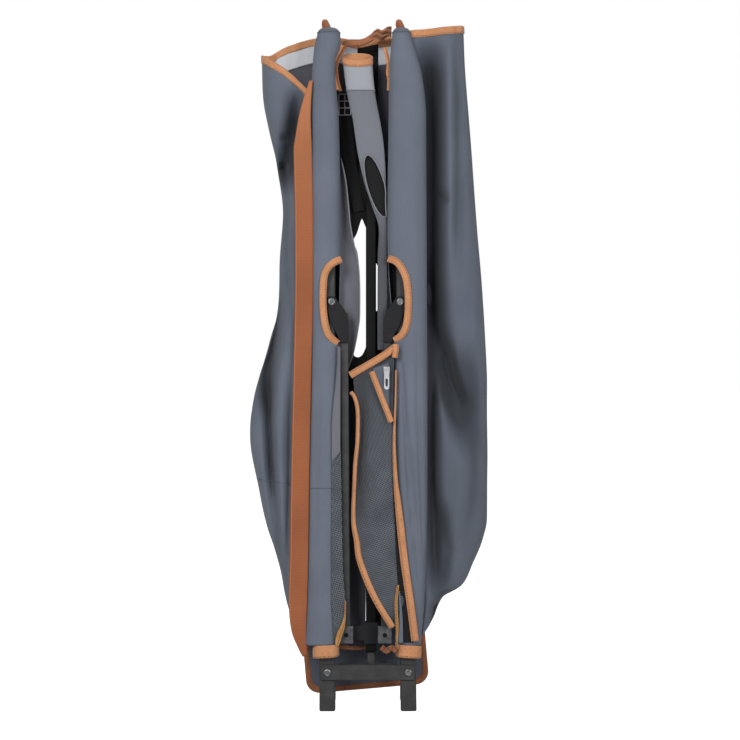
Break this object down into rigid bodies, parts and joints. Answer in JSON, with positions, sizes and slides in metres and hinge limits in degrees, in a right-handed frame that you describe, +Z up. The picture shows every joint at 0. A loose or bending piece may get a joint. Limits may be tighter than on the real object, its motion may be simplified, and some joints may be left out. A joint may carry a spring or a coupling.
{
  "type": "collapsible golf bag on a folding stand frame",
  "caption": "Tall narrow golf bag folded flat on its steel stand frame: sleeved uprights, side body panels, mesh pocket, shoulder strap and hinged rear legs.",
  "frame": {"origin": "on the floor, under the middle of the folded bundle's bounding box", "axes": "+Z up along the uprights, +X to the right of someone facing the front, -Y the front with the pocket and strap"},
  "size_m": [0.3286, 0.1208, 0.9633],
  "materials": {
    "black_steel": "satin black powder coat on steel tube",
    "zinc_steel": "zinc-plated pressed steel",
    "black_plastic": "moulded black nylon",
    "slate_cloth": "slate blue-grey woven polyester",
    "grey_lining": "grey woven lining",
    "black_cloth": "black woven polyester and webbing",
    "copper_tape": "folded tan-orange binding tape",
    "strap_webbing": "rust-orange polyester webbing",
    "pocket_mesh": "dark grey knitted mesh"
  },
  "bodies": {
    "base_frame": {"foot_crossbar": "black_steel", "left_crossbar_rivet": "zinc_steel", "right_crossbar_rivet": "zinc_steel", "center_post": "black_steel", "post_foot_bracket": "black_steel", "stand_hinge_arm": "black_plastic", "base_board": "slate_cloth", "base_board_binding": "copper_tape", "base_board_spacer": "black_plastic", "back_panel": "black_cloth", "back_panel_binding": "copper_tape", "back_webbing": "black_cloth"},
    "left_wing": {"left_upright": "black_steel", "left_foot_plug": "black_plastic", "left_top_plug": "black_plastic", "left_stay_rivet": "zinc_steel", "left_sleeve": "slate_cloth", "left_window_binding": "copper_tape", "left_sleeve_hem": "copper_tape", "left_tip_loop": "copper_tape", "left_body_panel": "slate_cloth", "left_mouth_binding": "copper_tape", "shoulder_strap": "strap_webbing", "left_lining": "grey_lining", "left_mesh_panel": "pocket_mesh", "left_mesh_binding": "copper_tape"},
    "right_wing": {"right_upright": "black_steel", "right_foot_plug": "black_plastic", "right_top_plug": "black_plastic", "right_stay_rivet": "zinc_steel", "right_sleeve": "slate_cloth", "right_window_binding": "copper_tape", "right_sleeve_hem": "copper_tape", "right_tip_loop": "copper_tape", "right_body_panel": "slate_cloth", "right_mouth_binding": "copper_tape", "divider_sleeve": "grey_lining", "divider_binding": "copper_tape", "mesh_pocket": "pocket_mesh", "pocket_top_binding": "copper_tape", "pocket_side_binding": "copper_tape", "pocket_seam_binding": "copper_tape", "zip_panel": "slate_cloth", "zip_panel_binding": "copper_tape"},
    "left_stay_arm": {"left_stay": "black_steel", "left_pivot_plate": "black_plastic", "left_stay_clip": "zinc_steel", "left_clip_pin": "zinc_steel"},
    "right_stay_arm": {"right_stay": "black_steel", "right_pivot_plate": "black_plastic", "right_stay_clip": "zinc_steel", "right_clip_pin": "zinc_steel"},
    "post_runner": {"runner": "black_plastic"},
    "rear_stand": {"stand_left_leg": "black_steel", "stand_left_foot_plug": "black_plastic", "stand_right_leg": "black_steel", "stand_right_foot_plug": "black_plastic", "stand_cross_tube": "black_steel"},
    "zip_slider_body": {"zip_slider": "zinc_steel"},
    "zip_puller_tab": {"zip_puller": "zinc_steel"}
  },
  "joints": [
    {"name": "left_upright_splay", "type": "hinge", "parent": "base_frame", "child": "left_wing", "pos_m": [-0.0565, -0.02705, 0.0546], "axis": [0, -1, 0], "range_deg": [0, 12]},
    {"name": "right_upright_splay", "type": "hinge", "parent": "base_frame", "child": "right_wing", "pos_m": [0.0565, -0.02705, 0.0546], "axis": [0, 1, 0], "range_deg": [0, 10.3]},
    {"name": "left_stay_fold", "type": "hinge", "parent": "left_wing", "child": "left_stay_arm", "pos_m": [-0.0505, -0.02705, 0.571], "axis": [0, -1, 0], "range_deg": [0, 1.5]},
    {"name": "right_stay_fold", "type": "hinge", "parent": "right_wing", "child": "right_stay_arm", "pos_m": [0.04509, -0.02705, 0.57091], "axis": [0, 1, 0], "range_deg": [0, 1.3]},
    {"name": "runner_slide", "type": "slide", "parent": "base_frame", "child": "post_runner", "axis": [0, 0, 1], "range_m": [0, 0.0074]},
    {"name": "rear_stand_hinge", "type": "hinge", "parent": "base_frame", "child": "rear_stand", "pos_m": [0, 0.04945, 0.728], "axis": [1, 0, 0], "range_deg": [0, 20]},
    {"name": "zip_slide", "type": "slide", "parent": "right_wing", "child": "zip_slider_body", "axis": [0, 0, -1], "range_m": [0, 0.052]},
    {"name": "zip_puller_swing", "type": "hinge", "parent": "zip_slider_body", "child": "zip_puller_tab", "pos_m": [0.0258, -0.05855, 0.476], "axis": [-1, 0, 0], "range_deg": [0, 120]}
  ],
  "couplings": [
    {"joint": "right_upright_splay", "follows": "left_upright_splay", "ratio": 0.855},
    {"joint": "left_stay_fold", "follows": "left_upright_splay", "ratio": 0.12},
    {"joint": "right_stay_fold", "follows": "left_upright_splay", "ratio": 0.104},
    {"joint": "runner_slide", "follows": "left_upright_splay", "m_per_rad": 0.0342}
  ]
}
